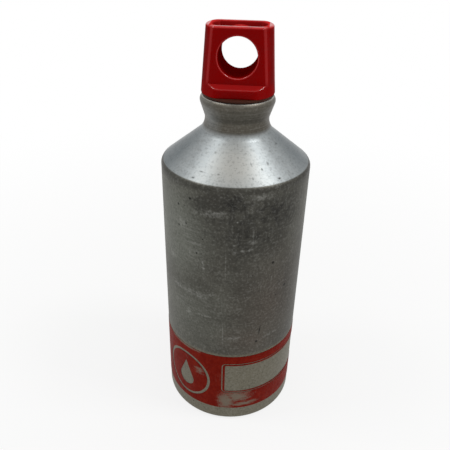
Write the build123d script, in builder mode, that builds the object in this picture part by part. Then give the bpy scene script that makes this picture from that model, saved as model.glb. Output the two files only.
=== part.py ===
from build123d import *
from math import cos, pi, radians, sin, sqrt, tan
import os

# A camping fuel bottle: a one-piece drawn aluminium shell with a conical shoulder and a necked
# collar, a threaded ring rolled into that collar, and a moulded screw cap with a finger eye.
# Lengths are in millimetres. The bottle's axis is Z, and its foot stands on z = 0.

# The shell's outside, from the foot up. Its neck is sized by the cap that closes it.
body_radius = 36.5
base_round = 2.3
foot_ring_width = 3.2
base_dome_height = 3.0
shoulder_height = 147.2
shoulder_round = 2.2
shoulder_lean = 51.5
waist_inset = 1.8
neck_fillet = 7.9
waist_straight = 0.5
flare_fillet = 4.0
flare_lean = 18.5
collar_rise = 10.1
lip_round = 2.7

# The shell's walls. The necked-in metal is thicker than the drawn side wall.
body_wall = 0.9
base_wall = 1.4
shoulder_wall = 1.4
inner_corner_round = 1.0
lip_thickness = 1.4
lip_bore_inset = 0.6

# The threaded ring: its wall behind the thread, the plain land below it, and the easing of its mouths.
ring_wall = 0.9
ring_end_land = 0.8
ring_entry_chamfer = 0.6

# The thread that the cap's plug and the ring share.
thread_pitch = 4.0
thread_height = 1.15
thread_crest_width = 1.1
thread_flank_angle = 20.0
thread_radial_clearance = 0.25
thread_axial_clearance = 0.25
thread_sink = 0.4

# The flat gasket between the collar and the cap.
gasket_thickness = 1.0
gasket_inset = 0.3
gasket_bore_clearance = 0.3
gasket_edge_round = 0.3

# The cap above its gasket: a slim cone with two flats, and an eye through them. Its foot is wider,
# with a ledge in front of each flat that falls outwards to a blunter front.
cap_height = 29.2
cap_base_radius = 17.0
cap_top_radius = 14.8
ledge_rise = 5.4
ledge_fall = 1.6
flat_half_at_ledge = 10.45
flat_half_at_top = 10.25
foot_front = 14.0
foot_corner_round = 5.0
cap_corner_round = 3.0
cap_top_round = 0.9
cap_ledge_round = 1.2
cap_base_round = 0.4
foot_inset = 0.05
eye_radius = 8.6
eye_rise = 16.8
eye_rim_round = 1.1
eye_tube_wall = 2.2
rim_wall = 2.7
pocket_corner_round = 1.6
pocket_mouth_round = 0.5

# The cap's plug, hollow from below, with a slot that vents the bottle before the thread lets go.
plug_length = 17.2
plug_wall = 2.2
plug_thread_start = 2.2
plug_thread_turns = 2.9
plug_end_chamfer = 0.6
vent_slot_width = 3.0
vent_slot_depth = 0.6

# The printed band. Its places round the bottle are angles from the front, positive to the right.
band_bottom = 9.3
band_height = 39.5
print_thickness = 0.15
field_start_angle = 0.2
field_end_angle = 96.0
field_bottom = 23.0
field_height = 19.3
field_corner_round = 0.8
outline_gap = 0.8
outline_side_gap = 1.3
outline_width = 0.4
outline_corner_round = 2.2
motif_angle = -37.4
motif_height = 28.2
motif_ring_radius = 15.6
motif_line_width = 1.6
drop_round_radius = 5.2
drop_height = 18.5

# One overrun for every cut that passes right through.
overrun = 1.0

# Heights and radii that follow from the sizes above.
lean = radians(shoulder_lean)
flare = radians(flare_lean)
waist_radius = cap_base_radius - waist_inset
neck_foot_height = shoulder_height + (body_radius - waist_radius) / tan(lean)
waist_height = neck_foot_height + neck_fillet * tan(lean / 2)
flare_height = waist_height + waist_straight + flare_fillet * tan(flare / 2)
collar_top = flare_height + collar_rise
dome_radius = body_radius - base_round - foot_ring_width
neck_bore_radius = waist_radius - shoulder_wall
lip_bore_radius = waist_radius - lip_bore_inset
inner_shoulder_height = shoulder_height + body_wall / tan(lean) - shoulder_wall / sin(lean)
inner_foot_height = neck_foot_height - shoulder_wall * tan(lean / 2)
inner_flare_height = flare_height + shoulder_wall * tan(flare / 2)
lip_underside = collar_top - lip_thickness
ring_flange_radius = neck_bore_radius + (lip_underside - inner_flare_height) * tan(flare)

ring_major_radius = neck_bore_radius - ring_wall
thread_crest_radius = ring_major_radius - thread_radial_clearance
thread_root_radius = thread_crest_radius - thread_height
ring_minor_radius = thread_root_radius + thread_radial_clearance

gasket_radius = cap_base_radius - gasket_inset
seat = collar_top + gasket_thickness
cap_top = seat + cap_height
ledge = seat + ledge_rise
eye_height = seat + eye_rise
plug_end = seat - plug_length
plug_thread_low = plug_end + plug_thread_start
pocket_floor = eye_height
plug_hollow_radius = thread_root_radius - plug_wall
plug_hollow_top = ledge - plug_wall

print_radius = body_radius + print_thickness


def cap_radius(height):
    """The cap's outer radius at a height: one straight cone from seat to top."""
    return cap_base_radius - (cap_base_radius - cap_top_radius) * (height - seat) / cap_height


def flat_half(height):
    """Half the distance between the cap's two flats, which draw in a little towards the top."""
    draft = (flat_half_at_ledge - flat_half_at_top) / (cap_top - ledge)
    return flat_half_at_ledge - draft * (height - ledge)


def thread_half_width(radius):
    """Half the axial width of the plug's thread at a radius."""
    return thread_crest_width / 2 + (thread_crest_radius - radius) * tan(radians(thread_flank_angle))


def rib_half_width(radius):
    """Half the axial width of the ring's thread, which fills the plug's groove but for clearance."""
    return thread_pitch / 2 - thread_half_width(radius) - thread_axial_clearance


def front_plane(angle):
    """The upright plane through the axis whose X points outwards at an angle from the front."""
    outwards = Vector(sin(radians(angle)), -cos(radians(angle)), 0)
    return Plane(origin=(0, 0, 0), x_dir=outwards, z_dir=outwards.cross(Vector(0, 0, 1)))


def band_patch(start_angle, end_angle, bottom, top, corner):
    """A cutter for the print: a strip of a ring with four rounded corners."""
    with BuildPart() as patch:
        with BuildSketch(front_plane(start_angle)):
            with BuildLine():
                Polyline((body_radius - overrun, bottom), (print_radius + overrun, bottom),
                         (print_radius + overrun, top), (body_radius - overrun, top), close=True)
            make_face()
        revolve(axis=Axis.Z, revolution_arc=end_angle - start_angle)
        fillet(patch.edges().filter_by(GeomType.LINE).filter_by(Axis.Z, reverse=True), corner)
    return patch.part


# The shell is drawn from one disc of aluminium: outside and cavity are turned about its axis.
with BuildPart() as bottle_shell:
    with BuildSketch(Plane.XZ):
        with BuildLine():
            FilletPolyline(
                (dome_radius, 0), (body_radius, 0), (body_radius, shoulder_height),
                (waist_radius, neck_foot_height), (waist_radius, flare_height),
                (waist_radius + collar_rise * tan(flare), collar_top), (0, collar_top),
                radius=[base_round, shoulder_round, neck_fillet, flare_fillet, lip_round])
            Line((0, collar_top), (0, base_dome_height))
            TangentArc((0, base_dome_height), (dome_radius, 0), tangent=(1, 0))
        make_face()
    revolve(axis=Axis.Z)
    with BuildSketch(Plane.XZ):
        with BuildLine():
            FilletPolyline(
                (dome_radius, base_wall), (body_radius - body_wall, base_wall),
                (body_radius - body_wall, inner_shoulder_height),
                (neck_bore_radius, inner_foot_height), (neck_bore_radius, inner_flare_height),
                (ring_flange_radius, lip_underside), (lip_bore_radius, lip_underside),
                (lip_bore_radius, collar_top + overrun), (0, collar_top + overrun),
                radius=[inner_corner_round, inner_corner_round, neck_fillet + shoulder_wall,
                        flare_fillet + shoulder_wall, 0, 0, 0])
            Line((0, collar_top + overrun), (0, base_dome_height + base_wall))
            TangentArc((0, base_dome_height + base_wall), (dome_radius, base_wall), tangent=(1, 0))
        make_face()
    revolve(axis=Axis.Z, mode=Mode.SUBTRACT)
bottle_shell.part.label = "bottle_shell"

# The ring's thread starts half a pitch above the plug's first turn, and ends below the mouth.
rib_root_half = rib_half_width(ring_major_radius + thread_sink)
rib_low = plug_thread_low + thread_pitch / 2
rib_rise = collar_top - ring_entry_chamfer - rib_root_half - rib_low
ring_bottom = rib_low - rib_root_half - ring_end_land

# The ring fills the flared collar from inside, and the shell's lip is rolled in over its shoulder.
with BuildPart() as neck_thread_insert:
    with BuildSketch(Plane.XZ):
        with BuildLine():
            FilletPolyline(
                (ring_major_radius, ring_bottom + ring_entry_chamfer),
                (ring_major_radius + ring_entry_chamfer, ring_bottom),
                (neck_bore_radius, ring_bottom), (neck_bore_radius, inner_flare_height),
                (ring_flange_radius, lip_underside), (lip_bore_radius, lip_underside),
                (lip_bore_radius, collar_top), (ring_major_radius + ring_entry_chamfer, collar_top),
                (ring_major_radius, collar_top - ring_entry_chamfer),
                radius=[0, 0, flare_fillet + shoulder_wall, 0, 0, 0, 0])
            Line((ring_major_radius, collar_top - ring_entry_chamfer),
                 (ring_major_radius, ring_bottom + ring_entry_chamfer))
        make_face()
    revolve(axis=Axis.Z)
    with BuildLine() as rib_path:
        Helix(thread_pitch, rib_rise, ring_major_radius, center=(0, 0, rib_low))
    with BuildSketch(Plane.XZ):
        with BuildLine():
            crest_half = rib_half_width(ring_minor_radius)
            Polyline((ring_minor_radius, rib_low - crest_half),
                     (ring_minor_radius, rib_low + crest_half),
                     (ring_major_radius + thread_sink, rib_low + rib_root_half),
                     (ring_major_radius + thread_sink, rib_low - rib_root_half), close=True)
        make_face()
    sweep(path=rib_path.line, is_frenet=True)
neck_thread_insert.part.label = "neck_thread_insert"

# The flat rubber gasket lies on the collar and stays on the plug above its thread.
with BuildPart() as cap_gasket:
    with BuildSketch(Plane.XY.offset(collar_top)):
        Circle(gasket_radius)
        Circle(thread_root_radius + gasket_bore_clearance, mode=Mode.SUBTRACT)
    extrude(amount=gasket_thickness)
    rims = cap_gasket.edges().filter_by(GeomType.CIRCLE)
    fillet(rims.filter_by(lambda edge: edge.radius > (gasket_radius + thread_root_radius) / 2),
           gasket_edge_round)
cap_gasket.part.label = "cap_gasket"

# The core that hollows the cap from above leaves the eye's tube standing across the pocket.
with BuildPart() as pocket_core:
    with BuildSketch(Plane.XY.offset(cap_top + overrun)) as pocket_outline:
        Circle(cap_top_radius - rim_wall)
        Rectangle(2 * cap_top_radius, 2 * (flat_half_at_top - rim_wall), mode=Mode.INTERSECT)
        fillet(pocket_outline.vertices(), pocket_corner_round)
    extrude(amount=pocket_floor - cap_top - overrun)
    with BuildSketch(Plane.XZ.offset(-cap_top_radius)):
        with Locations((0, eye_height)):
            Circle(eye_radius + eye_tube_wall)
    extrude(amount=2 * cap_top_radius, mode=Mode.SUBTRACT)

# The cap's foot is turned a hair inside the grip's own cone, and each ledge is cut to fall outwards.
with BuildPart() as cap_foot:
    with BuildSketch(Plane.XZ):
        with BuildLine():
            Polyline((0, seat), (cap_radius(seat) - foot_inset, seat),
                     (cap_radius(ledge) - foot_inset, ledge), (0, ledge), close=True)
        make_face()
    revolve(axis=Axis.Z)
    with BuildSketch(Plane.YZ):
        with BuildLine():
            Polyline((foot_front, seat - overrun), (foot_front, ledge - ledge_fall),
                     (flat_half_at_ledge, ledge), (flat_half_at_ledge, ledge + overrun),
                     (cap_base_radius + overrun, ledge + overrun),
                     (cap_base_radius + overrun, seat - overrun), close=True)
        make_face()
        mirror(about=Plane.YZ)
    extrude(amount=cap_base_radius + overrun, both=True, mode=Mode.SUBTRACT)
    fillet(cap_foot.edges().filter_by(lambda edge: edge.bounding_box().size.Z > ledge_rise / 2),
           foot_corner_round)
    ledge_edges = cap_foot.edges().filter_by(lambda edge: edge.center().Z > seat + ledge_rise / 2)
    fillet(ledge_edges.filter_by(lambda edge: abs(edge.center().Y) > (foot_front + flat_half_at_ledge) / 2),
           cap_ledge_round)
    fillet(cap_foot.faces().sort_by(Axis.Z)[0].edges(), cap_base_round)

# The cap is one moulding. Its grip is a slim cone cut by two flats that run down to the seat.
with BuildPart() as screw_cap:
    with BuildSketch(Plane.XZ):
        with BuildLine():
            Polyline((0, seat), (cap_base_radius, seat), (cap_top_radius, cap_top), (0, cap_top),
                     close=True)
        make_face()
    revolve(axis=Axis.Z)
    with BuildSketch(Plane.YZ):
        with BuildLine():
            Polyline((flat_half(seat - overrun), seat - overrun),
                     (flat_half(cap_top + overrun), cap_top + overrun),
                     (cap_base_radius + overrun, cap_top + overrun),
                     (cap_base_radius + overrun, seat - overrun), close=True)
        make_face()
        mirror(about=Plane.YZ)
    extrude(amount=cap_base_radius + overrun, both=True, mode=Mode.SUBTRACT)
    upright_edges = screw_cap.edges().filter_by(lambda edge: edge.bounding_box().size.Z > cap_height / 2)
    fillet(upright_edges.filter_by(lambda edge: abs(edge.center().Y) > flat_half_at_top / 2),
           cap_corner_round)
    fillet(screw_cap.faces().sort_by(Axis.Z)[-1].edges(), cap_top_round)
    fillet(screw_cap.faces().sort_by(Axis.Z)[0].edges(), cap_base_round)
    with BuildSketch(Plane.XZ.offset(-cap_base_radius)):
        with Locations((0, eye_height)):
            Circle(eye_radius)
    extrude(amount=2 * cap_base_radius, mode=Mode.SUBTRACT)
    fillet(screw_cap.edges(Select.LAST).filter_by(GeomType.LINE, reverse=True), eye_rim_round)
    add(pocket_core.part, mode=Mode.SUBTRACT)
    fillet(screw_cap.faces().sort_by(Axis.Z)[-1].inner_wires().edges(), pocket_mouth_round)
    add(cap_foot.part)
    with BuildSketch(Plane.XY.offset(seat)):
        Circle(thread_root_radius)
    extrude(amount=-plug_length)
    chamfer(screw_cap.faces().sort_by(Axis.Z)[0].edges(), plug_end_chamfer)
    with BuildLine() as thread_path:
        Helix(thread_pitch, plug_thread_turns * thread_pitch, thread_root_radius,
              center=(0, 0, plug_thread_low))
    with BuildSketch(Plane.XZ):
        with BuildLine():
            crest_half = thread_half_width(thread_crest_radius)
            sunk_half = thread_half_width(thread_root_radius - thread_sink)
            Polyline((thread_crest_radius, plug_thread_low - crest_half),
                     (thread_crest_radius, plug_thread_low + crest_half),
                     (thread_root_radius - thread_sink, plug_thread_low + sunk_half),
                     (thread_root_radius - thread_sink, plug_thread_low - sunk_half), close=True)
        make_face()
    sweep(path=thread_path.line, is_frenet=True)
    with BuildSketch(Plane.XY.offset(plug_end)):
        Circle(plug_hollow_radius)
    extrude(amount=plug_hollow_top - plug_end, mode=Mode.SUBTRACT)
    with BuildSketch(Plane.XY.offset(plug_end)):
        with Locations((0, thread_root_radius - vent_slot_depth + thread_height)):
            Rectangle(vent_slot_width, 2 * thread_height)
    extrude(amount=plug_thread_start + plug_thread_turns * thread_pitch
            + thread_half_width(thread_root_radius), mode=Mode.SUBTRACT)
screw_cap.part.label = "screw_cap"

# The print is a thin lacquer skin. The writing field, its outline and the motif are left bare.
outline_turn = (outline_side_gap / body_radius) * 180 / pi
outline_line_turn = (outline_width / body_radius) * 180 / pi
field = band_patch(field_start_angle, field_end_angle, field_bottom,
                   field_bottom + field_height, field_corner_round)
outline_inside = band_patch(
    field_start_angle - outline_turn, field_end_angle + outline_turn,
    field_bottom - outline_gap, field_bottom + field_height + outline_gap, outline_corner_round)
outline_outside = band_patch(
    field_start_angle - outline_turn - outline_line_turn,
    field_end_angle + outline_turn + outline_line_turn,
    field_bottom - outline_gap - outline_width,
    field_bottom + field_height + outline_gap + outline_width, outline_corner_round + outline_width)

motif_out = (sin(radians(motif_angle)), -cos(radians(motif_angle)), 0)
motif_side = (cos(radians(motif_angle)), sin(radians(motif_angle)), 0)
motif_plane = Plane(origin=(0, 0, motif_height), x_dir=motif_side, z_dir=motif_out)
drop_tip = drop_height - drop_round_radius
drop_turn = sqrt(drop_tip ** 2 - drop_round_radius ** 2) / drop_tip

with BuildPart() as printed_band:
    with BuildSketch(Plane.XY.offset(band_bottom)):
        Circle(print_radius)
        Circle(body_radius, mode=Mode.SUBTRACT)
    extrude(amount=band_height)
    add(outline_outside - outline_inside, mode=Mode.SUBTRACT)
    add(field, mode=Mode.SUBTRACT)
    with BuildSketch(motif_plane):
        Circle(motif_ring_radius)
        Circle(motif_ring_radius - motif_line_width, mode=Mode.SUBTRACT)
        with BuildLine():
            low = (0, -drop_height / 2 + drop_round_radius)
            side = drop_round_radius * drop_turn
            rise = drop_round_radius ** 2 / drop_tip
            touch_right = (side, low[1] + rise)
            touch_left = (-side, low[1] + rise)
            Line((0, drop_height / 2), touch_right)
            ThreePointArc(touch_right, (0, -drop_height / 2), touch_left)
            Line(touch_left, (0, drop_height / 2))
        make_face()
    extrude(amount=body_radius + overrun, mode=Mode.SUBTRACT)
printed_band.part.label = "printed_band"

os.makedirs("parts", exist_ok=True)
for piece in (bottle_shell, neck_thread_insert, cap_gasket, screw_cap, printed_band):
    export_step(piece.part, f"parts/{piece.part.label}.step")
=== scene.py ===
import math

import bpy
from mathutils import Matrix, Vector


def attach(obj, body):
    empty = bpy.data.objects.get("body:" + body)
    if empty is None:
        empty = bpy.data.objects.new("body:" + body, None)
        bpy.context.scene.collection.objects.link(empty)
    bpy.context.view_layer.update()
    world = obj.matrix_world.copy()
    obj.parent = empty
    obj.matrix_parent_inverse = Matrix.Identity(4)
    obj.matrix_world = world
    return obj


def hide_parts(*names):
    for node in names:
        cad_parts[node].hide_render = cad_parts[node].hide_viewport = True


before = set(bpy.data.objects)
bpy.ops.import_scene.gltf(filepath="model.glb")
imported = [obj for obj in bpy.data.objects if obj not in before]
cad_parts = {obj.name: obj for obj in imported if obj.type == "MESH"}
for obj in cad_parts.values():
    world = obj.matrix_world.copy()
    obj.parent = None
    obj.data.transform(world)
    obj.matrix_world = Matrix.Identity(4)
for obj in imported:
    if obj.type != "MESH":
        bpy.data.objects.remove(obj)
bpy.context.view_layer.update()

# The camera. It was held by hand above and in front of the bottle, a little to the right of the
# cap's own front, and leans a hair to one side.
camera_distance = 0.2285
camera_height = 0.2435
camera_round_bottle = math.radians(3.6)
camera_aim_left = 0.02
camera_look_down = 0.5335
camera_lean = 0.022
camera_lens = 39.893
camera_clip = 0.01

bpy.ops.object.select_all(action="DESELECT")
bpy.ops.object.camera_add()
camera = bpy.context.object
camera.name = "camera"
camera.data.lens = camera_lens
camera.data.clip_start = camera_clip
camera.matrix_world = (
    Matrix.Rotation(camera_round_bottle, 4, "Z")
    @ Matrix.Translation((0, -camera_distance, camera_height))
    @ Matrix.Rotation(camera_aim_left, 4, "Z")
    @ Matrix.Rotation(math.pi / 2 - camera_look_down, 4, "X")
    @ Matrix.Rotation(camera_lean, 4, "Z"))
bpy.context.scene.camera = camera


# The bottle. One slug of aluminium is drawn into a tube with a domed base, its shoulder and neck
# are spun in, and the mouth is rolled outwards into a collar. Years of handling have left the
# metal dull grey, stained and scratched, with the shoulder and lip rubbed bright. Both are also
# painted brighter: painted light on the shoulder and a painted highlight along the lip.
body_radius = 0.0365
body_wall = 0.0009
inner_body_radius = body_radius - body_wall
inner_corner_rounding = 0.0010
base_wall = 0.0014
dome_radius = 0.031
dome_height = 0.003
foot_rounding = 0.0023
shoulder_height = 0.1472
shoulder_rounding = 0.0022
inner_shoulder_height = 0.146127
waist_radius = 0.0152
waist_bottom, waist_bottom_rounding = 0.164143, 0.0079
waist_top, waist_top_rounding = 0.169105, 0.0040
shoulder_wall = 0.0014
inner_waist_radius = waist_radius - shoulder_wall
inner_waist_bottom, inner_waist_bottom_rounding = 0.163468, 0.0093
inner_waist_top, inner_waist_top_rounding = 0.169333, 0.0054
collar_radius = 0.018579
collar_rounding = 0.0027
collar_top = 0.179205
lip_bore_radius = 0.0146
lip_underside = 0.177805
ring_seat_radius = 0.016635
turning_steps = 256
same_place = 0.000001
sharp_angle = math.radians(35)


def dome_corners(lift, count=8):
    """The base's hollow, from the axis out to the foot ring, a lift above the ground."""
    ball = (dome_radius ** 2 + dome_height ** 2) / (2 * dome_height)
    radii = [dome_radius * i / count for i in range(count + 1)]
    return [(r, lift + dome_height - ball + math.sqrt(ball ** 2 - r ** 2), 0) for r in radii]


def turn_piece(name, corners, segments=10):
    """A piece turned about the bottle's axis. Each corner is a radius, a height, its rounding."""
    bpy.ops.object.select_all(action="DESELECT")
    bpy.ops.mesh.primitive_plane_add(size=0.001)
    piece = bpy.context.object
    piece.name = piece.data.name = name
    bpy.ops.object.mode_set(mode="EDIT")
    bpy.ops.mesh.select_mode(type="VERT")
    bpy.ops.mesh.merge(type="CENTER")
    bpy.ops.transform.translate(value=(corners[0][0], 0, corners[0][1]))
    for before, after in zip(corners, corners[1:]):
        step = (after[0] - before[0], 0, after[1] - before[1])
        bpy.ops.mesh.extrude_region_move(TRANSFORM_OT_translate={"value": step})
    for before, here, after in zip(corners, corners[1:], corners[2:]):
        if here[2]:
            turn = (math.atan2(after[1] - here[1], after[0] - here[0])
                    - math.atan2(here[1] - before[1], here[0] - before[0]))
            turn = abs((turn + math.pi) % (2 * math.pi) - math.pi)
            bpy.ops.mesh.select_all(action="DESELECT")
            bpy.ops.object.mode_set(mode="OBJECT")
            for vertex in piece.data.vertices:
                vertex.select = math.dist(vertex.co, (here[0], 0, here[1])) < same_place
            bpy.ops.object.mode_set(mode="EDIT")
            bpy.ops.mesh.bevel(offset=here[2] * math.tan(turn / 2), segments=segments,
                               affect="VERTICES")
    bpy.ops.mesh.select_all(action="SELECT")
    bpy.ops.mesh.spin(steps=turning_steps, angle=2 * math.pi, center=(0, 0, 0), axis=(0, 0, 1))
    bpy.ops.mesh.select_all(action="SELECT")
    bpy.ops.mesh.remove_doubles(threshold=same_place)
    bpy.ops.mesh.normals_make_consistent(inside=False)
    bpy.ops.object.mode_set(mode="OBJECT")
    bpy.ops.object.shade_smooth_by_angle(angle=sharp_angle)
    bpy.ops.object.modifier_add(type="WEIGHTED_NORMAL")
    piece.modifiers[-1].keep_sharp = True
    bpy.ops.object.modifier_apply(modifier=piece.modifiers[-1].name)
    return piece


outside = [
    (body_radius, 0, foot_rounding),
    (body_radius, shoulder_height, shoulder_rounding),
    (waist_radius, waist_bottom, waist_bottom_rounding),
    (waist_radius, waist_top, waist_top_rounding),
    (collar_radius, collar_top, collar_rounding),
    (lip_bore_radius, collar_top, 0)]
inside = [
    (lip_bore_radius, lip_underside, 0),
    (ring_seat_radius, lip_underside, 0),
    (inner_waist_radius, inner_waist_top, inner_waist_top_rounding),
    (inner_waist_radius, inner_waist_bottom, inner_waist_bottom_rounding),
    (inner_body_radius, inner_shoulder_height, inner_corner_rounding),
    (inner_body_radius, base_wall, inner_corner_rounding)]
bottle = turn_piece(
    "drawn_bottle", dome_corners(0) + outside + inside + dome_corners(base_wall)[::-1])


def put(tree, kind, inputs=None, **settings):
    """Adds a shader node, sets its options, and fills its inputs with values or links."""
    node = tree.nodes.new("ShaderNode" + kind)
    for option, value in settings.items():
        setattr(node, option, value)
    for socket, value in (inputs or {}).items():
        if isinstance(value, bpy.types.NodeSocket):
            tree.links.new(value, node.inputs[socket])
        else:
            node.inputs[socket].default_value = value
    return node


def sum_of(tree, first, second, operation="ADD", clamp=False):
    """One sum of two values."""
    node = put(tree, "Math", {0: first, 1: second}, operation=operation, use_clamp=clamp)
    return node.outputs[0]


def times(tree, first, second, clamp=False):
    """One value or mask times another."""
    return sum_of(tree, first, second, "MULTIPLY", clamp)


def between(tree, value, low, high, to_low=0.0, to_high=1.0):
    """A value eased from one range to another, and held at its ends."""
    return put(tree, "MapRange", {0: value, 1: low, 2: high, 3: to_low, 4: to_high},
               interpolation_type="SMOOTHSTEP").outputs[0]


def zone(tree, value, start, full, fade, end, strength=1.0):
    """A mask that rises with a value from start to full, and falls again from fade to end."""
    return times(tree, between(tree, value, start, full),
                 between(tree, value, end, fade, 0.0, strength))


def blended(tree, share, first, second):
    """Two colours mixed by a share."""
    return put(tree, "Mix", {0: share, 6: first, 7: second}, data_type="RGBA").outputs[2]


def embossed(tree, shader, height, strength, distance):
    """Raises a surface's fine relief by a height."""
    bump = put(tree, "Bump", {"Strength": strength, "Distance": distance, "Height": height})
    tree.links.new(bump.outputs[0], shader.inputs["Normal"])


def new_effect(name, inputs, outputs):
    """An empty node group with its named sockets, and its two end nodes."""
    tree = bpy.data.node_groups.new(name, "ShaderNodeTree")
    for socket, (kind, value) in inputs.items():
        made = tree.interface.new_socket(
            name=socket, in_out="INPUT", socket_type="NodeSocket" + kind)
        if value is not None:
            made.default_value = value
    for socket in outputs:
        tree.interface.new_socket(name=socket, in_out="OUTPUT", socket_type="NodeSocketFloat")
    ends = tree.nodes.new("NodeGroupInput"), tree.nodes.new("NodeGroupOutput")
    return tree, ends[0].outputs, ends[1].inputs


def effect(tree, group, **inputs):
    """A node group placed in a material, and its one output."""
    node = tree.nodes.new("ShaderNodeGroup")
    node.node_tree = group
    for socket, value in inputs.items():
        socket = socket.replace("_", " ")
        if isinstance(value, bpy.types.NodeSocket):
            tree.links.new(value, node.inputs[socket])
        else:
            node.inputs[socket].default_value = value
    return node.outputs[0]


def new_material(name):
    """A material with its tree, its Principled shader and the piece's own coordinates."""
    material = bpy.data.materials.new(name)
    material.use_nodes = True
    tree = material.node_tree
    tree.nodes.clear()
    shader = put(tree, "BsdfPrincipled")
    tree.links.new(shader.outputs[0], put(tree, "OutputMaterial").inputs[0])
    return material, tree, shader, put(tree, "TexCoord").outputs


# The effects that the materials of the bottle and of the pieces after it are built from. Grain is
# soft noise, drawn out by fewer lines to the metre one way than the other.
grain_effect, given, made = new_effect(
    "Stretched grain",
    {"Vector": ("Vector", None), "Lines per metre": ("Vector", (1, 1, 1)),
     "Detail": ("Float", 3.0)}, ["Grain"])
stretched = put(grain_effect, "VectorMath", {0: given["Vector"], 1: given["Lines per metre"]},
                operation="MULTIPLY").outputs[0]
noise = put(grain_effect, "TexNoise", {"Vector": stretched, "Scale": 1.0,
                                       "Detail": given["Detail"], "Roughness": 0.6})
grain_effect.links.new(noise.outputs[0], made["Grain"])

# Scratches are the thin lines where stretched noise passes its middle, kept in patches.
patch_edge = 0.12
scratch_effect, given, made = new_effect(
    "Handling scratches",
    {"Vector": ("Vector", None), "Turn": ("Vector", (0, 0, 0)),
     "Lines per metre": ("Vector", (1, 1, 1)), "Width": ("Float", 0.01),
     "Patch size": ("Float", 60.0), "Coverage": ("Float", 0.5)}, ["Scratches"])
turned = put(scratch_effect, "VectorRotate", {"Vector": given["Vector"], "Rotation": given["Turn"]},
             rotation_type="EULER_XYZ").outputs[0]
drawn = put(scratch_effect, "VectorMath", {0: turned, 1: given["Lines per metre"]},
            operation="MULTIPLY").outputs[0]
lines = put(scratch_effect, "TexNoise", {"Vector": drawn, "Scale": 1.0, "Detail": 2.0}).outputs[0]
off_line = sum_of(scratch_effect, sum_of(scratch_effect, lines, 0.5, "SUBTRACT"), 0.0, "ABSOLUTE")
thin = between(scratch_effect, off_line, 0.0, given["Width"], 1.0, 0.0)
patches = put(scratch_effect, "TexNoise", {"Vector": given["Vector"], "Scale": given["Patch size"],
                                           "Detail": 2.0}).outputs[0]
uncovered = sum_of(scratch_effect, 1.0, given["Coverage"], "SUBTRACT")
kept = between(scratch_effect, patches, uncovered, sum_of(scratch_effect, uncovered, patch_edge))
scratch_effect.links.new(times(scratch_effect, thin, kept), made["Scratches"])

# Pits are the middles of scattered cells, of which only a share is kept.
smallest_pit = 0.4
pit_effect, given, made = new_effect(
    "Corrosion pits",
    {"Vector": ("Vector", None), "Pits per metre": ("Float", 400.0),
     "Radius": ("Float", 0.25), "Share kept": ("Float", 0.2)}, ["Pits"])
cells = put(pit_effect, "TexVoronoi", {"Vector": given["Vector"], "Scale": given["Pits per metre"]})
chance = put(pit_effect, "SeparateXYZ", {0: cells.outputs["Color"]}).outputs
left_over = sum_of(pit_effect, chance[0], given["Share kept"], "SUBTRACT")
kept = between(pit_effect, left_over, 0.0, 0.01, 1.0, 0.0)
size = times(pit_effect, sum_of(pit_effect, chance[1], smallest_pit), given["Radius"])
from_middle = sum_of(pit_effect, cells.outputs["Distance"], size, "DIVIDE")
depth = between(pit_effect, from_middle, 0.5, 1.0, 1.0, 0.0)
pit_effect.links.new(times(pit_effect, depth, kept), made["Pits"])

# A placed mark is a soft oval with its own place, turn and half size.
mark_effect, given, made = new_effect(
    "Placed mark",
    {"Vector": ("Vector", None), "Place": ("Vector", (0, 0, 0)),
     "Turn": ("Vector", (0, 0, 0)), "Half size": ("Vector", (1, 1, 1))}, ["Mark"])
local = put(mark_effect, "Mapping", {"Vector": given["Vector"], "Location": given["Place"],
                                     "Rotation": given["Turn"], "Scale": given["Half size"]},
            vector_type="TEXTURE").outputs[0]
oval = put(mark_effect, "TexGradient", {0: local}, gradient_type="SPHERICAL")
mark_effect.links.new(oval.outputs[1], made["Mark"])


def grained(tree, place, lines, detail):
    """Grain with so many lines to the metre along each axis."""
    return effect(tree, grain_effect, Vector=place, Lines_per_metre=lines, Detail=detail)


def scratched(tree, place, turn, lines, width, patch_size, coverage):
    """Scratches that run one way, in patches."""
    return effect(tree, scratch_effect, Vector=place, Turn=turn, Lines_per_metre=lines,
                  Width=width, Patch_size=patch_size, Coverage=coverage)


def marked(tree, flat_place, places):
    """The strongest of several placed marks. Each row of places is a mark's distance round the
    bottle from the front, its height, its two half sizes, its tilt and its strength."""
    strongest = 0.0
    for arc, high, half_length, half_height, tilt, strength in places:
        mark = effect(tree, mark_effect, Vector=flat_place, Place=(arc, high, 0),
                      Turn=(0, 0, tilt), Half_size=(half_length, half_height, 1))
        strongest = sum_of(tree, strongest, times(tree, mark, strength), "MAXIMUM")
    return strongest


# The bottle's metal: a dull film with stains, pits and lines left by drawing, rubbed through to
# brighter aluminium by scratches and at the larger marks. Marks that show on the front are placed
# one by one.
# Some colours below are painted light and shade: the lighter, cooler tone on the wall's left, the
# dark that also paints shade, part of the shoulder's brightness, the neck's shade and the lip's
# highlight.
film_colour = (0.103, 0.100, 0.084, 1)
stain_colour = (0.070, 0.067, 0.056, 1)
warm_colour = (0.096, 0.080, 0.066, 1)
left_light_colour = (0.134, 0.138, 0.118, 1)
grime_and_shade_colour = (0.030, 0.029, 0.026, 1)
covered_colour = (0.152, 0.140, 0.106, 1)
spun_and_lit_colour = (0.265, 0.285, 0.290, 1)
neck_colour = (0.122, 0.112, 0.092, 1)
neck_shade_colour = (0.078, 0.070, 0.056, 1)
shoulder_side_colour = (0.140, 0.160, 0.168, 1)
bright_colour = (0.34, 0.34, 0.32, 1)
lip_wear_and_highlight_colour = (0.56, 0.54, 0.50, 1)
pit_colour = (0.012, 0.012, 0.010, 1)
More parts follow.
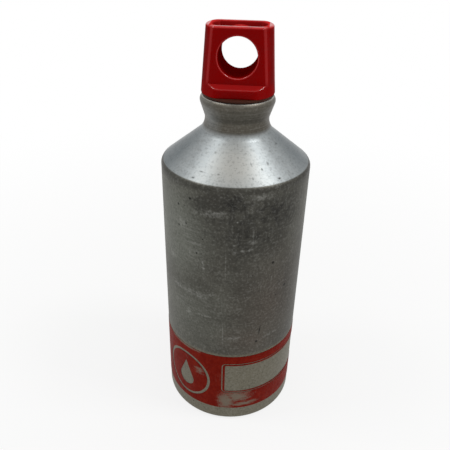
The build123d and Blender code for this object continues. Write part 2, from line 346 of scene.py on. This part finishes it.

# The heights over which one finish, painted shade or painted highlight passes into the next.
covered_heights = (0.0513, 0.0487)
edge_shade_heights = (0.1425, 0.1462)
polished_heights = (0.1455, 0.1480)
pitted_heights = (0.1460, 0.1480)
grain_heights = (0.1465, 0.1485)
ringed_heights = (0.1470, 0.1480)
ringed_neck_heights = (0.1620, 0.1640)
spun_heights = (0.1479, 0.1484, 0.1630, 0.1658)
neck_heights = (0.1630, 0.1640)
unworn_heights = (0.1640, 0.1700)
neck_foot_shade_heights = (0.1700, 0.1670)
under_lip_shade_heights = (0.1750, 0.1762, 0.1774, 0.1781)
lip_heights = (0.1783, 0.1790)

# How far each colour covers the film where it lies thickest, and how rough the metal is.
edge_shade_share = 0.55
neck_share = 0.85
neck_foot_shade_share = 0.8
under_lip_shade_share = 0.5
lip_share = 0.75
scratch_share = 0.18
scuff_share = 0.45
hatch_share = 0.13
pit_share = 0.9
wall_roughness = 0.47
shoulder_roughness = 0.375
mottle_roughness = 0.10

warm_places = ((0.025, 0.082, 0.026, 0.040, 0.0, 0.9), (0.014, 0.060, 0.020, 0.016, 0.0, 0.8))
# Painted light on the wall's left side, lighter and cooler.
left_light_places = ((-0.024, 0.075, 0.026, 0.032, 0.0, 0.7), (-0.030, 0.120, 0.026, 0.036, 0.0, 1.6))
# Darker patches on the front of the wall: partly stains, partly painted shade.
stain_and_shade_places = (
    (-0.012, 0.1390, 0.013, 0.0065, 0.0, 1.2), (0.002, 0.1405, 0.018, 0.0130, 0.0, 1.5),
    (0.022, 0.1345, 0.024, 0.0160, 0.0, 1.4), (0.008, 0.1270, 0.034, 0.0300, 0.0, 1.15),
    (0.010, 0.1000, 0.034, 0.0360, 0.0, 0.50), (0.034, 0.0900, 0.020, 0.0500, 0.0, 0.55))
# Painted shade on the neck's right side.
neck_shade_places = ((0.0340, 0.1700, 0.020, 0.0120, 0.0, 0.8),)
# Painted light on the neck's left side.
neck_light_places = ((-0.0300, 0.1700, 0.018, 0.0100, 0.0, 0.45),)
# Painted highlights on the shoulder, where the lamps' gleam falls.
shoulder_highlight_places = (
    (-0.0130, 0.1500, 0.012, 0.0045, 0.0, 0.3), (0.0100, 0.1500, 0.012, 0.0050, 0.0, 0.4),
    (0.0015, 0.1545, 0.018, 0.0110, 0.0, 1.4))
# Darker bluish patches at both sides of the shoulder.
shoulder_side_places = (
    (-0.0480, 0.1530, 0.018, 0.0160, 0.0, 1.7), (0.0540, 0.1550, 0.018, 0.0160, 0.0, 1.4))
scuff_places = (
    (-0.0092, 0.1345, 0.0095, 0.0022, 0.0, 1.0), (-0.0060, 0.1352, 0.0060, 0.0012, 0.1, 1.1),
    (-0.0245, 0.1255, 0.0040, 0.0045, 0.5, 0.9), (0.0042, 0.1315, 0.0007, 0.0007, 0.0, 1.6),
    (0.0026, 0.1193, 0.0011, 0.0008, 0.0, 1.3), (0.0036, 0.1152, 0.0020, 0.0012, 0.2, 1.5),
    (0.0068, 0.1160, 0.0014, 0.0010, 0.0, 1.3), (0.0104, 0.1163, 0.0017, 0.0010, 0.3, 1.3),
    (0.0113, 0.1206, 0.0030, 0.0016, 0.0, 0.9), (-0.0323, 0.1035, 0.0040, 0.0028, 0.0, 0.8),
    (-0.0118, 0.1042, 0.0013, 0.0009, 0.0, 1.5), (-0.0123, 0.1068, 0.0006, 0.0035, 0.3, 1.0),
    (-0.0194, 0.1112, 0.0006, 0.0036, -0.1, 1.1), (-0.0285, 0.0871, 0.0080, 0.0020, 0.0, 0.9),
    (-0.0210, 0.0873, 0.0070, 0.0024, 0.0, 1.0), (-0.0140, 0.0868, 0.0060, 0.0026, -0.2, 0.9),
    (-0.0076, 0.0890, 0.0030, 0.0012, 0.2, 0.8), (-0.0205, 0.0735, 0.0030, 0.0032, 0.6, 1.0),
    (-0.0118, 0.0745, 0.0070, 0.0008, 0.05, 1.0), (0.0036, 0.0622, 0.0060, 0.0013, 0.1, 0.9),
    (0.0244, 0.0605, 0.0060, 0.0013, 0.1, 0.9), (-0.0016, 0.0640, 0.0004, 0.0110, 0.01, 0.8),
    (-0.0009, 0.1070, 0.0004, 0.0130, 0.01, 0.6), (0.0148, 0.1434, 0.0060, 0.0022, 0.0, 0.9))
hatch_places = (
    (-0.0180, 0.1170, 0.0075, 0.0150, 0.0, 1.4), (-0.0300, 0.1230, 0.0060, 0.0060, 0.0, 1.0),
    (-0.0250, 0.0800, 0.0120, 0.0060, 0.0, 1.0))
nick_places = (
    (-0.0188, 0.1398, 0.0009, 0.0009, 0.0, 1.6), (-0.0263, 0.1345, 0.0009, 0.0009, 0.0, 1.5),
    (-0.0263, 0.1234, 0.0008, 0.0008, 0.0, 1.3), (-0.0214, 0.1260, 0.0008, 0.0008, 0.0, 1.2),
    (0.0228, 0.1068, 0.0009, 0.0010, 0.0, 1.8), (0.0321, 0.0895, 0.0012, 0.0011, 0.0, 1.6),
    (0.0164, 0.0584, 0.0009, 0.0010, 0.0, 1.6), (0.0178, 0.0656, 0.0005, 0.0036, -0.1, 1.5),
    (0.0117, 0.1551, 0.0006, 0.0009, 0.3, 0.6), (0.0225, 0.1546, 0.0011, 0.0009, 0.0, 0.7),
    (0.0175, 0.1532, 0.0007, 0.0006, 0.0, 1.0), (0.0251, 0.1495, 0.0012, 0.0004, 0.0, 1.2),
    (0.0112, 0.1507, 0.0007, 0.0006, 0.0, 0.7), (-0.0064, 0.1517, 0.0011, 0.0004, 0.0, 0.7),
    (-0.0161, 0.1516, 0.0020, 0.0003, 0.0, 0.8), (-0.0189, 0.1492, 0.0012, 0.0004, 0.0, 1.0),
    (-0.0128, 0.1582, 0.0012, 0.0004, 0.0, 0.6), (0.0403, 0.1593, 0.0020, 0.0004, 0.0, 0.6))

metal, tree, shader, coords = new_material("Dull drawn aluminium")
place = coords["Object"]
across, along, height = put(tree, "SeparateXYZ", {0: place}).outputs
turn = sum_of(tree, across, times(tree, along, -1.0), "ARCTAN2")
unrolled = put(tree, "CombineXYZ", {0: times(tree, turn, body_radius), 1: height}).outputs[0]

clouds = grained(tree, place, (50, 50, 50), 4.0)
mottle = grained(tree, place, (330, 330, 330), 4.0)
speckle = grained(tree, place, (900, 900, 900), 3.0)
draw_lines = grained(tree, place, (70, 70, 1300), 3.0)
spun_lines = grained(tree, place, (30, 30, 2300), 3.0)
upright = scratched(tree, place, (0, 0, 0), (520, 520, 24), 0.008, 55.0, 0.5)
slanted = scratched(tree, place, (0.0, 0.7, 0.5), (420, 420, 24), 0.006, 48.0, 0.45)
level = scratched(tree, place, (0.12, -0.08, 0.0), (30, 30, 620), 0.010, 60.0, 0.48)
pits = effect(tree, pit_effect, Vector=place, Pits_per_metre=330.0, Radius=0.14, Share_kept=0.10)

# The wall is warmer than its film in places and paler below the print's top. Painted light makes
# its left side lighter and cooler. Patches at its front are darker, partly stains and partly
# painted shade, and painted shade darkens a band just under the shoulder's edge.
film = blended(tree, between(tree, clouds, 0.36, 0.64), stain_colour, film_colour)
film = blended(tree, marked(tree, unrolled, warm_places), film, warm_colour)
film = blended(tree, marked(tree, unrolled, left_light_places), film, left_light_colour)
stain_and_shade = marked(tree, unrolled, stain_and_shade_places)
stain_and_shade = times(tree, stain_and_shade, between(tree, mottle, 0.30, 0.62, 1.0, 0.55))
edge_shade = between(tree, height, *edge_shade_heights, 0.0, edge_shade_share)
film = blended(tree, sum_of(tree, stain_and_shade, edge_shade, "MAXIMUM"), film, grime_and_shade_colour)
film = blended(tree, between(tree, height, *covered_heights), film, covered_colour)

# The spun shoulder is brighter and bluer, partly its own finish and partly painted light, with
# painted highlights on it and darker bluish patches at both sides. The neck is browner, with
# painted shade at its foot, under the lip and on its right, and painted light on its left. The lip
# itself is rubbed bright and painted paler as a highlight.
spun = zone(tree, height, *spun_heights)
spun = times(tree, spun, between(tree, mottle, 0.25, 0.65, 0.80, 1.0))
neck = between(tree, height, *neck_heights)
film = blended(tree, times(tree, neck, neck_share), film, neck_colour)
neck_foot_shade = times(tree, neck, between(tree, height, *neck_foot_shade_heights, 0.0, neck_foot_shade_share))
film = blended(tree, neck_foot_shade, film, neck_shade_colour)
for places, colour in ((neck_shade_places, neck_shade_colour), (neck_light_places, spun_and_lit_colour)):
    film = blended(tree, times(tree, marked(tree, unrolled, places), neck), film, colour)
film = blended(tree, spun, film, spun_and_lit_colour)
for places, colour in ((shoulder_highlight_places, bright_colour), (shoulder_side_places, shoulder_side_colour)):
    film = blended(tree, times(tree, marked(tree, unrolled, places), spun), film, colour)
film = blended(tree, zone(tree, height, *under_lip_shade_heights, under_lip_shade_share), film, neck_shade_colour)
# The lip is rubbed bright and painted paler as a highlight.
film = blended(tree, between(tree, height, *lip_heights, 0.0, lip_share), film, lip_wear_and_highlight_colour)

# Fine grain over it all, light and dark, and level lines left by spinning above the wall.
grain = sum_of(tree, times(tree, speckle, 0.80), times(tree, draw_lines, 0.20))
grain_share = between(tree, height, *grain_heights, 1.0, 0.75)
above_wall = times(tree, between(tree, height, *ringed_heights),
                   between(tree, height, *ringed_neck_heights, 0.5, 1.0))
for noise, mask, low, high, share, colour in (
        (grain, grain_share, 0.50, 0.34, 0.35, grime_and_shade_colour),
        (grain, grain_share, 0.50, 0.66, 0.15, bright_colour),
        (spun_lines, above_wall, 0.50, 0.30, 0.16, grime_and_shade_colour),
        (spun_lines, above_wall, 0.50, 0.70, 0.12, bright_colour)):
    shown = times(tree, between(tree, noise, low, high, 0.0, share), mask)
    film = blended(tree, shown, film, colour)

# Scratches and the larger scuffs, smears and spots, broken up by the grain, then nicks and pits.
crumbs = sum_of(tree, sum_of(tree, speckle, mottle), times(tree, level, 0.3))
scuffs = times(tree, marked(tree, unrolled, scuff_places), between(tree, crumbs, 0.70, 1.30))
worn = sum_of(tree, sum_of(tree, upright, slanted), times(tree, level, 0.5), clamp=True)
worn = times(tree, worn, between(tree, height, *unworn_heights, 1.0, 0.1))
film = blended(tree, times(tree, worn, scratch_share), film, bright_colour)
film = blended(tree, times(tree, scuffs, scuff_share, clamp=True), film, bright_colour)
hatch = times(tree, marked(tree, unrolled, hatch_places),
              between(tree, draw_lines, 0.46, 0.60, 0.0, hatch_share))
film = blended(tree, hatch, film, bright_colour)
pits = times(tree, pits, between(tree, height, *pitted_heights, 1.0, 0.10))
pitted = sum_of(tree, pits, marked(tree, unrolled, nick_places), "MAXIMUM", clamp=True)
film = blended(tree, times(tree, pitted, pit_share), film, pit_colour)
tree.links.new(film, shader.inputs["Base Color"])

rough = between(tree, height, *polished_heights, wall_roughness, shoulder_roughness)
rough = sum_of(tree, rough, times(tree, mottle, mottle_roughness))
tree.links.new(rough, shader.inputs["Roughness"])
relief = sum_of(tree, times(tree, draw_lines, 0.5), times(tree, speckle, 0.4))
relief = sum_of(tree, relief, times(tree, sum_of(tree, worn, pitted), 0.6), "SUBTRACT")
embossed(tree, shader, relief, 0.30, 0.00010)
shader.inputs["Metallic"].default_value = 1.0
bottle.data.materials.append(metal)
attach(bottle, "bottle")
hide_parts("bottle_shell")


# The print. Red lacquer is screened on round the foot in one pass, which leaves bare metal for a
# writing field, the fine line round it and a ring with a drop. It is dull, scratched and rubbed off
# in places by the ground and by other gear.
band_bottom = 0.0093
band_height = 0.0395
lacquer_thickness = 0.0001
lacquer_lift = 0.00009
lacquer_radius = body_radius + lacquer_lift
band_length = 2 * math.pi * lacquer_radius
field_left = 0.0001
field_right = 0.0612
field_bottom = 0.0230
field_height = 0.0193
field_corner = 0.0008
line_width = 0.0006
line_gap_beside = 0.0012
line_gap_above = 0.0008
line_corner = 0.0021
ring_across, ring_up = -0.0238, 0.0282
ring_radius = 0.0156
ring_line = 0.0016
drop_radius = 0.0052
drop_height = 0.0185
drop_shoulder = 0.45 * drop_radius
through = 0.002


def edit_where(piece, mode, wanted):
    """Enters edit mode with only those vertices, edges or faces selected that are wanted."""
    bpy.ops.object.mode_set(mode="EDIT")
    bpy.ops.mesh.select_mode(type=mode)
    bpy.ops.mesh.select_all(action="DESELECT")
    bpy.ops.object.mode_set(mode="OBJECT")
    mesh = piece.data
    if mode == "FACE":
        for face in mesh.polygons:
            face.select = wanted(face.center)
    elif mode == "EDGE":
        for edge in mesh.edges:
            ends = [mesh.vertices[i].co for i in edge.vertices]
            edge.select = wanted((ends[0] + ends[1]) / 2)
    else:
        for vertex in mesh.vertices:
            vertex.select = wanted(vertex.co)
    bpy.ops.object.mode_set(mode="EDIT")


def make_active(piece):
    """Selects one piece alone."""
    bpy.ops.object.select_all(action="DESELECT")
    bpy.context.view_layer.objects.active = piece
    piece.select_set(True)


def apply_modifier(piece, kind, **settings):
    """Adds a modifier to a piece and applies it."""
    make_active(piece)
    bpy.ops.object.modifier_add(type=kind)
    for option, value in settings.items():
        setattr(piece.modifiers[-1], option, value)
    bpy.ops.object.modifier_apply(modifier=piece.modifiers[-1].name)


def settle(piece):
    """Leaves a piece at the origin with its place in its mesh."""
    make_active(piece)
    bpy.ops.object.transform_apply(location=True, rotation=True, scale=True)


def block(left, right, bottom, top, thickness, corner=0.0):
    """A flat block in the plane of the unrolled band, its four corners rounded."""

    def upright_edge(middle):
        return (abs(middle.y) < same_place
                and min(abs(middle.x - left), abs(middle.x - right)) < same_place
                and min(abs(middle.z - bottom), abs(middle.z - top)) < same_place)

    bpy.ops.object.select_all(action="DESELECT")
    bpy.ops.mesh.primitive_cube_add(
        size=1, location=((left + right) / 2, 0, (bottom + top) / 2),
        scale=(right - left, thickness, top - bottom))
    piece = bpy.context.object
    settle(piece)
    if corner:
        edit_where(piece, "EDGE", upright_edge)
        bpy.ops.mesh.bevel(offset=corner, segments=8, affect="EDGES")
        bpy.ops.object.mode_set(mode="OBJECT")
    return piece


def field_block(beside, above, thickness, corner):
    """A block as large as the writing field, and larger by so much beside and above it."""
    return block(field_left - beside, field_right + beside, field_bottom - above,
                 field_bottom + field_height + above, thickness, corner)


def disc(radius, thickness):
    """A round block in the same plane, at the ring's place."""
    bpy.ops.object.select_all(action="DESELECT")
    bpy.ops.mesh.primitive_cylinder_add(
        vertices=96, radius=radius, depth=thickness, location=(ring_across, 0, ring_up),
        rotation=(math.pi / 2, 0, 0))
    piece = bpy.context.object
    settle(piece)
    return piece


def cut(piece, cutter):
    """Takes a cutter's shape out of a piece, and the cutter away."""
    apply_modifier(piece, "BOOLEAN", object=cutter, operation="DIFFERENCE", solver="EXACT")
    bpy.data.objects.remove(cutter)


band = block(-band_length / 2, band_length / 2, band_bottom, band_bottom + band_height,
             lacquer_thickness)
band.name = band.data.name = "lacquer_print"
frame_line = field_block(line_gap_beside + line_width, line_gap_above + line_width, through,
                         line_corner + line_width)
cut(frame_line, field_block(line_gap_beside, line_gap_above, 2 * through, line_corner))
cut(band, frame_line)
cut(band, field_block(0, 0, through, field_corner))
ring = disc(ring_radius, through)
cut(ring, disc(ring_radius - ring_line, 2 * through))
cut(band, ring)

# The drop is a disc whose upper part is drawn up to a point.
drop = disc(drop_radius, through)
edit_where(drop, "VERT", lambda spot: spot.z > ring_up + drop_shoulder)
bpy.ops.transform.resize(value=(0.0, 1.0, 0.0), center_override=(ring_across, 0, ring_up))
bpy.ops.transform.translate(value=(0, 0, drop_height - drop_radius))
bpy.ops.mesh.select_all(action="SELECT")
bpy.ops.transform.translate(value=(0, 0, drop_radius - drop_height / 2))
bpy.ops.mesh.remove_doubles(threshold=same_place)
bpy.ops.object.mode_set(mode="OBJECT")
cut(band, drop)

# The flat print is sliced upright, given its flat coordinates and rolled round the bottle.
edit_where(band, "FACE", lambda middle: abs(middle.x) > band_length / 2 - same_place)
bpy.ops.mesh.delete(type="FACE")
for i in range(1, turning_steps):
    slice_place = band_length * (i / turning_steps - 0.5)
    bpy.ops.mesh.select_all(action="SELECT")
    bpy.ops.mesh.bisect(plane_co=(slice_place, 0, 0), plane_no=(1, 0, 0))
bpy.ops.object.mode_set(mode="OBJECT")
uv_layers = band.data.uv_layers
flat = uv_layers[0] if uv_layers else uv_layers.new(name="flat print")
for corner in band.data.loops:
    spot = band.data.vertices[corner.vertex_index].co
    flat.data[corner.index].uv = (spot.x, spot.z)
apply_modifier(band, "SIMPLE_DEFORM", deform_method="BEND", deform_axis="Z", angle=2 * math.pi)
bpy.ops.object.mode_set(mode="EDIT")
bpy.ops.mesh.select_all(action="SELECT")
bpy.ops.transform.translate(value=(0, -lacquer_radius, 0))
bpy.ops.mesh.remove_doubles(threshold=same_place)
bpy.ops.object.mode_set(mode="OBJECT")
bpy.ops.object.shade_smooth_by_angle(angle=sharp_angle)

# The lacquer fades unevenly. Where it is rubbed off, its own surface shows the metal below.
lacquer_colour = (0.145, 0.0045, 0.0006, 1)
faded_colour = (0.185, 0.010, 0.003, 1)
rubbed_places = (
    (0.0010, 0.0150, 0.0080, 0.0120, 0.0, 0.95), (0.0075, 0.0185, 0.0140, 0.0080, 0.0, 0.85),
    (0.0110, 0.0122, 0.0140, 0.0026, 0.05, 0.9), (-0.0145, 0.0345, 0.0070, 0.0062, 0.5, 0.58),
    (-0.0240, 0.0485, 0.0220, 0.0018, 0.0, 0.8))
loss_range = (0.94, 1.42)
rubbed_share = 0.85
lacquer, tree, shader, coords = new_material("Worn red lacquer")
place = coords["Object"]
mottle = grained(tree, place, (380, 380, 300), 4.0)
crumbs = grained(tree, place, (1500, 1500, 900), 3.0)
streaks = grained(tree, place, (190, 190, 1500), 3.0)
upright = scratched(tree, place, (0, 0, 0), (420, 420, 26), 0.010, 55.0, 0.5)
slanted = scratched(tree, place, (0.0, 0.7, 0.5), (330, 330, 22), 0.007, 48.0, 0.45)
level = scratched(tree, place, (0.3, -0.2, 0.0), (26, 26, 520), 0.010, 60.0, 0.48)
broken_up = sum_of(tree, times(tree, streaks, 0.9), times(tree, crumbs, 0.6))
loss = sum_of(tree, times(tree, marked(tree, coords["UV"], rubbed_places), 0.9), broken_up)
gone = between(tree, loss, *loss_range, 0.0, rubbed_share)
worn = sum_of(tree, sum_of(tree, upright, slanted), level, clamp=True)
gone = sum_of(tree, gone, times(tree, worn, scratch_share), "MAXIMUM")
colour = blended(tree, between(tree, mottle, 0.35, 0.7), lacquer_colour, faded_colour)
tree.links.new(blended(tree, gone, colour, covered_colour), shader.inputs["Base Color"])
tree.links.new(gone, shader.inputs["Metallic"])
tree.links.new(between(tree, crumbs, 0.2, 0.8, 0.42, 0.56), shader.inputs["Roughness"])
embossed(tree, shader, sum_of(tree, crumbs, gone, "SUBTRACT"), 0.3, 0.0001)
shader.inputs["Specular IOR Level"].default_value = 0.03
band.data.materials.clear()
band.data.materials.append(lacquer)
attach(band, "bottle")
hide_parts("printed_band")


# The threaded ring. It is turned from aluminium bar and rolled into the collar from inside, and
# keeps its machined grey and the fine lines of the tool.
tool_dark_colour = (0.26, 0.26, 0.25, 1)
tool_light_colour = (0.44, 0.44, 0.43, 1)
turned_metal, tree, shader, coords = new_material("Machined aluminium")
tool_lines = grained(tree, coords["Object"], (90, 90, 5200), 2.0)
tree.links.new(blended(tree, tool_lines, tool_dark_colour, tool_light_colour),
               shader.inputs["Base Color"])
tree.links.new(between(tree, tool_lines, 0.2, 0.8, 0.26, 0.40), shader.inputs["Roughness"])
embossed(tree, shader, tool_lines, 0.3, 0.00005)
shader.inputs["Metallic"].default_value = 1.0
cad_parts["neck_thread_insert"].data.materials[0] = turned_metal


# The gasket: a flat ring punched from dark brown rubber, with a bloom of dust, squeezed between
# the collar and the cap.
gasket_bore = 0.0118
gasket_radius = 0.0167
gasket_thickness = 0.0010
gasket_top = collar_top + gasket_thickness
gasket_rounding = 0.0003
rubber_colour = (0.036, 0.009, 0.004, 1)
bloom_colour = (0.064, 0.018, 0.009, 1)
gasket = turn_piece("rubber_gasket", [
    (gasket_bore, collar_top, 0), (gasket_radius, collar_top, gasket_rounding),
    (gasket_radius, gasket_top, gasket_rounding), (gasket_bore, gasket_top, 0),
    (gasket_bore, collar_top, 0)], segments=5)
rubber, tree, shader, coords = new_material("Brown rubber")
speckle = grained(tree, coords["Object"], (1400, 1400, 1400), 4.0)
tree.links.new(blended(tree, between(tree, speckle, 0.35, 0.75), rubber_colour, bloom_colour),
               shader.inputs["Base Color"])
tree.links.new(between(tree, speckle, 0.2, 0.8, 0.55, 0.75), shader.inputs["Roughness"])
embossed(tree, shader, speckle, 0.4, 0.00006)
shader.inputs["Specular IOR Level"].default_value = 0.15
gasket.data.materials.append(rubber)
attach(gasket, "seal")
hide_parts("cap_gasket")


# The cap is one glossy red moulding, a little scuffed where a hand turns it. Its rim, its ledges,
# the eye's edge and a line along each rounded corner are polished glossier by handling, and are
# painted paler as highlights, with painted shade of a deeper red beside each line. The eye's bore
# and the pocket in its top are dull, and the pocket's inside is paler.
eye_height = 0.197005
bore_radii = (0.0086, 0.0089)
eye_edge_radii = (0.0100, 0.0097)
pocket_across = (0.0130, 0.0125)
pocket_along = (0.0080, 0.0077)
pocket_from_eye = (0.0092, 0.0100)
pocket_heights = (0.1975, 0.1985)
grip_heights = (0.1840, 0.1870)
line_heights = (0.1840, 0.1880)
below_rim_heights = (0.2090, 0.2075)
rim_heights = (0.2083, 0.2092)

# How far a rounded corner faces front or back, from 0 at its side to 1 at its flat, and how far a
# ledge faces up.
corner_line_facing = (0.56, 0.74, 0.86, 0.96)
corner_side_facing = (0.26, 0.12)
corner_shade_facing = (0.18, 0.30, 0.40, 0.56)
eye_edge_facing = (0.30, 0.55, 0.70, 0.90)
ledge_upward = (0.45, 0.70)
haze_range = (0.3, 0.75)

# The reds: two tones of the moulding, a painted shade, and a paler red for scuffs, the pocket and
# painted highlights.
deep_red = (0.215, 0.0004, 0.0004, 1)
clear_red = (0.245, 0.0009, 0.0008, 1)
shade_red = (0.075, 0.0002, 0.0002, 1)
wear_and_highlight_red = (0.62, 0.035, 0.035, 1)

moulding, tree, shader, coords = new_material("Glossy red moulding")
place = coords["Object"]
ripple = grained(tree, place, (220, 220, 220), 1.0)
haze = grained(tree, place, (160, 160, 160), 4.0)
scuffs = scratched(tree, place, (0.0, 0.6, 0.3), (900, 900, 60), 0.012, 140.0, 0.45)
across, along, height = put(tree, "SeparateXYZ", {0: place}).outputs
reach_across = sum_of(tree, across, 0.0, "ABSOLUTE")
reach_along = sum_of(tree, along, 0.0, "ABSOLUTE")
above_eye = sum_of(tree, height, eye_height, "SUBTRACT")
from_eye = put(tree, "CombineXYZ", {0: across, 1: above_eye}).outputs[0]
from_eye = put(tree, "VectorMath", {0: from_eye}, operation="LENGTH").outputs[1]
facing, upward = (sum_of(tree, way, 0.0, "ABSOLUTE") for way in put(
    tree, "SeparateXYZ", {0: coords["Normal"]}).outputs[1:])

off_bore = between(tree, from_eye, *bore_radii)
in_pocket = times(tree, between(tree, reach_along, *pocket_along),
                  between(tree, height, *pocket_heights))
in_pocket = times(tree, in_pocket, between(tree, from_eye, *pocket_from_eye))
in_pocket = times(tree, in_pocket, between(tree, reach_across, *pocket_across))
# Painted highlights: a pale line along each rounded corner and its outermost side, the ledges, the
# eye's edge and the rim.
edge = sum_of(tree, zone(tree, facing, *corner_line_facing, 0.85),
              between(tree, facing, *corner_side_facing, 0.0, 0.85), "MAXIMUM")
edge = times(tree, edge, times(tree, off_bore, between(tree, height, *line_heights, 0.08, 1.0)))
ledge = times(tree, between(tree, upward, *ledge_upward), off_bore)
eye_edge = times(tree, zone(tree, facing, *eye_edge_facing),
                 times(tree, off_bore, between(tree, from_eye, *eye_edge_radii)))
rim = between(tree, height, *rim_heights)
# Painted shade: a deeper red strip beside each corner's line, below the rim.
shade = times(tree, zone(tree, facing, *corner_shade_facing),
              times(tree, off_bore, between(tree, height, *grip_heights)))
shade = times(tree, shade, between(tree, height, *below_rim_heights))

red = blended(tree, between(tree, haze, *haze_range), deep_red, clear_red)
for mask, share, colour in (
        (in_pocket, 0.25, wear_and_highlight_red), (shade, 0.40, shade_red), (edge, 0.27, wear_and_highlight_red),
        (ledge, 0.22, wear_and_highlight_red), (eye_edge, 0.45, wear_and_highlight_red),
        (rim, between(tree, haze, 0.3, 0.6, 0.25, 0.60), wear_and_highlight_red), (scuffs, 0.10, wear_and_highlight_red)):
    red = blended(tree, times(tree, mask, share), red, colour)
tree.links.new(red, shader.inputs["Base Color"])
tree.links.new(between(tree, haze, *haze_range, 0.35, 0.5), shader.inputs["Roughness"])
gloss = sum_of(tree, between(tree, haze, *haze_range, 0.06, 0.03), times(tree, scuffs, 0.04),
               "SUBTRACT")
for mask, share in ((edge, 0.22), (ledge, 0.45), (eye_edge, 0.50)):
    gloss = sum_of(tree, gloss, times(tree, mask, share))
gloss = sum_of(tree, times(tree, gloss, off_bore), in_pocket, "SUBTRACT", clamp=True)
tree.links.new(gloss, shader.inputs["Coat Weight"])
shader.inputs["Coat Roughness"].default_value = 0.06
shader.inputs["Specular IOR Level"].default_value = 0.0
embossed(tree, shader, sum_of(tree, ripple, times(tree, scuffs, 0.2), "SUBTRACT"), 0.10, 0.00012)
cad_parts["screw_cap"].data.materials[0] = moulding


# The floor: a plain pale sheet, and two soft lamps above the bottle, one to each side and a
# little in front of it, with a pale room round them.
floor_radius = 6.0
floor_colour = (0.85, 0.85, 0.84, 1)
shadow_reach = (0.05, 0.5)
white_near_bottle = 0.80
lamp_height = 0.99
lamp_reach = 0.54
lamp_forward = 0.09
lamp_size = 0.24
left_lamp_power = 1.8
right_lamp_power = 3.0
room_colour = (0.60, 0.60, 0.60, 1)
white_colour = (1, 1, 1, 1)


def shown_white(tree):
    """The rays that see plain white in place of the floor or the room."""
    ray = put(tree, "LightPath").outputs
    return sum_of(tree, sum_of(tree, ray["Is Camera Ray"], ray["Is Glossy Ray"]),
                  ray["Is Transmission Ray"], clamp=True)


bpy.ops.object.select_all(action="DESELECT")
bpy.ops.mesh.primitive_circle_add(vertices=64, radius=floor_radius, fill_type="NGON")
floor = bpy.context.object
floor.name = "floor"
sheet = bpy.data.materials.new("Pale floor")
sheet.use_nodes = True
tree = sheet.node_tree
tree.nodes.clear()
shown = shown_white(tree)
place = put(tree, "TexCoord").outputs["Object"]
from_bottle = put(tree, "VectorMath", {0: place}, operation="LENGTH").outputs[1]
backdrop = between(tree, from_bottle, *shadow_reach, white_near_bottle, 1.0)
pale = put(tree, "BsdfDiffuse", {"Color": floor_colour}).outputs[0]
white = put(tree, "Emission", {"Color": white_colour, "Strength": 1.0}).outputs[0]
mixed = put(tree, "MixShader", {0: times(tree, shown, backdrop), 1: pale, 2: white})
tree.links.new(mixed.outputs[0], put(tree, "OutputMaterial").inputs[0])
floor.data.materials.append(sheet)

for side, power in ((-1, left_lamp_power), (1, right_lamp_power)):
    bpy.ops.object.light_add(type="AREA", location=(side * lamp_reach, -lamp_forward, lamp_height))
    lamp = bpy.context.object
    lamp.data.size = lamp_size
    lamp.data.energy = power
    aim = Vector((0, 0, shoulder_height)) - lamp.location
    lamp.rotation_mode = "QUATERNION"
    lamp.rotation_quaternion = aim.to_track_quat("-Z", "Y")

world = bpy.data.worlds.new("Pale room")
bpy.context.scene.world = world
world.use_nodes = True
tree = world.node_tree
tree.nodes.clear()
shown = shown_white(tree)
room = put(tree, "Background", {"Color": room_colour, "Strength": 1.0}).outputs[0]
white = put(tree, "Background", {"Color": white_colour, "Strength": 1.0}).outputs[0]
mixed = put(tree, "MixShader", {0: shown, 1: room, 2: white})
tree.links.new(mixed.outputs[0], put(tree, "OutputWorld").inputs[0])
bpy.context.scene.view_settings.view_transform = "Standard"
